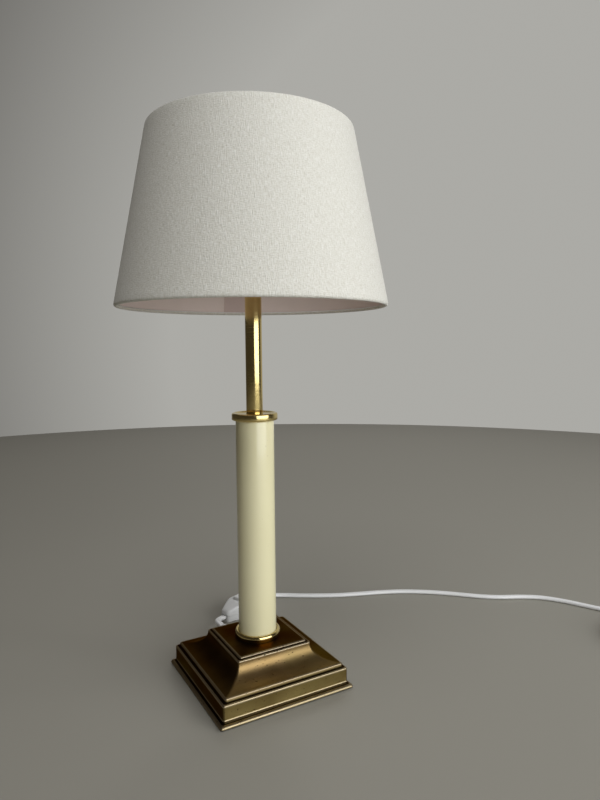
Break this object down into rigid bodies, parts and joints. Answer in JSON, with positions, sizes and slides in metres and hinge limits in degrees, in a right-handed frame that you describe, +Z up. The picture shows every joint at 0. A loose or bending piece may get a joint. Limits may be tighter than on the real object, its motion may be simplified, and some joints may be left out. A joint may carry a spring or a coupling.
{
  "type": "table lamp",
  "caption": "Table lamp with a square stepped brass base, cream column, brass stem and fabric cone shade, with its flat cord, cord switch and plug.",
  "frame": {"origin": "centre of the base's felt underside, on the table", "axes": "+Z up along the column; X and Y along the sides of the square base; +Y towards the side where the cord leaves the base"},
  "size_m": [0.4651, 0.3784, 0.411],
  "materials": {
    "aged_brass": "dark lacquered brass, rubbed bright along its edges",
    "polished_brass": "polished and lacquered",
    "cream_lacquer": "smooth cream gloss lacquer",
    "cast_iron": "as cast, painted dark",
    "zinc_steel": "zinc plated",
    "felt": "dark green glued felt",
    "porcelain": "glazed white",
    "nickel": "nickel plated",
    "opal_glass": "opal white",
    "shade_linen": "off-white plain linen weave with slubs",
    "shade_lining": "laminated sheet, warm beige",
    "white_wire": "white enamelled wire",
    "white_plastic": "moulded white, softly worn",
    "white_cord": "smooth white flexible sheath",
    "tie_strap": "thin grey woven strap"
  },
  "bodies": {
    "lamp": {"base_felt": "felt", "base_plate": "zinc_steel", "base_shell": "aged_brass", "base_weight": "cast_iron", "centre_contact": "nickel", "column": "cream_lacquer", "cord_coil": "white_cord", "cord_lead": "white_cord", "cord_run": "white_cord", "cord_tail": "white_cord", "cord_tie": "tie_strap", "holder_cap": "polished_brass", "holder_core": "porcelain", "holder_lock_screw": "zinc_steel", "holder_skirt": "polished_brass", "inner_cord": "white_cord", "lower_collar": "polished_brass", "lower_shade_ring": "polished_brass", "plate_screw_1": "zinc_steel", "plate_screw_2": "zinc_steel", "plug_body": "white_plastic", "plug_pin_1": "nickel", "plug_pin_2": "nickel", "rocker_pin": "nickel", "rod_nut": "zinc_steel", "rod_washer": "zinc_steel", "stem": "polished_brass", "strain_relief": "white_plastic", "switch_base": "white_plastic", "switch_contact_1": "polished_brass", "switch_contact_2": "polished_brass", "switch_cover": "white_plastic", "switch_screw_1": "zinc_steel", "switch_screw_2": "zinc_steel", "terminal_screw_1": "nickel", "terminal_screw_2": "nickel", "thread_shell": "nickel", "threaded_rod": "zinc_steel", "upper_collar": "polished_brass"},
    "shade": {"shade_cover": "shade_linen", "shade_lining": "shade_lining", "top_wire": "white_wire", "bottom_wire": "white_wire", "fitter_ring": "white_wire", "shade_arm_1": "white_wire", "shade_arm_2": "white_wire", "shade_arm_3": "white_wire"},
    "clamp": {"clamp_ring": "polished_brass"},
    "bulb": {"bulb_tip": "nickel", "bulb_cap": "nickel", "bulb_glass": "opal_glass"},
    "rocker": {"switch_rocker": "white_plastic"}
  },
  "joints": [
    {"name": "shade_turn", "type": "hinge", "parent": "lamp", "child": "shade", "pos_m": [0, 0, 0.33], "axis": [0, 0, 1], "continuous": true},
    {"name": "clamp_ring_rise", "type": "slide", "parent": "lamp", "child": "clamp", "axis": [0, 0, 1], "range_m": [0, 0.008]},
    {"name": "bulb_lift", "type": "slide", "parent": "lamp", "child": "bulb", "axis": [0, 0, 1], "range_m": [0, 0.1]},
    {"name": "switch_rock", "type": "hinge", "parent": "lamp", "child": "rocker", "pos_m": [0.03878, 0.11181, 0.0122], "axis": [0.4147, -0.91, 0], "range_deg": [0, 22]}
  ]
}
